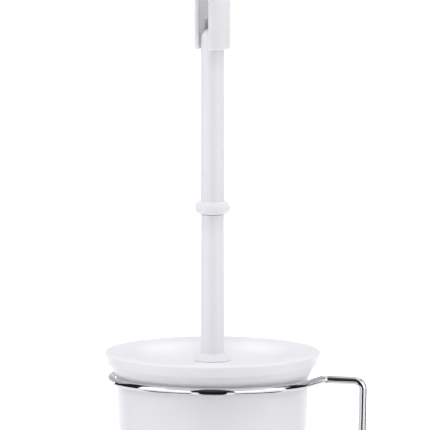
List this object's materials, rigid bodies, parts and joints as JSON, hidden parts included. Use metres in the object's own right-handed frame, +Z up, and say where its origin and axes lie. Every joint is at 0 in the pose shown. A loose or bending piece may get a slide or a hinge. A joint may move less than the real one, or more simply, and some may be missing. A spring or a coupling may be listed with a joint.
{
  "type": "toilet brush holder",
  "caption": "White plastic toilet brush with a dished lid, standing in a tapered white cup that a chrome wire frame with a side post holds.",
  "frame": {"origin": "on the floor, in the middle of the holder's footprint; the axis of the cup and the brush stands 11.75 mm to -X of it", "axes": "+Z up along the brush's handle; +X from the cup's axis towards the frame's side post; the handle's slot faces -X and -Y"},
  "size_m": [0.1315, 0.1082, 0.3911],
  "materials": {
    "white_plastic": "satin moulded polypropylene",
    "bristle": "nylon monofilament",
    "chrome_wire": "bright plated",
    "foot_plastic": "soft matte"
  },
  "bodies": {
    "frame": {"top_ring": "chrome_wire", "side_post": "chrome_wire", "base_ring": "chrome_wire", "rest_wire_front": "chrome_wire", "rest_wire_back": "chrome_wire", "foot_1": "foot_plastic", "foot_2": "foot_plastic", "foot_3": "foot_plastic", "foot_4": "foot_plastic"},
    "cup": {"cup": "white_plastic"},
    "lid": {"lid": "white_plastic"},
    "brush": {"lower_shaft": "white_plastic", "upper_shaft": "white_plastic", "grip": "white_plastic", "brush_core": "white_plastic", "bristle_row_1": "bristle", "bristle_row_2": "bristle", "bristle_row_3": "bristle", "bristle_row_4": "bristle", "bristle_row_5": "bristle", "bristle_row_6": "bristle", "bristle_tip": "bristle"}
  },
  "joints": [
    {"name": "cup_lift", "type": "slide", "parent": "frame", "child": "cup", "axis": [0, 0, 1], "range_m": [0, 0.12]},
    {"name": "brush_lift", "type": "slide", "parent": "cup", "child": "lid", "axis": [0, 0, 1], "range_m": [0, 0.115]},
    {"name": "brush_spin", "type": "hinge", "parent": "lid", "child": "brush", "pos_m": [-0.01175, 0, 0.13], "axis": [0, 0, 1], "continuous": true}
  ]
}
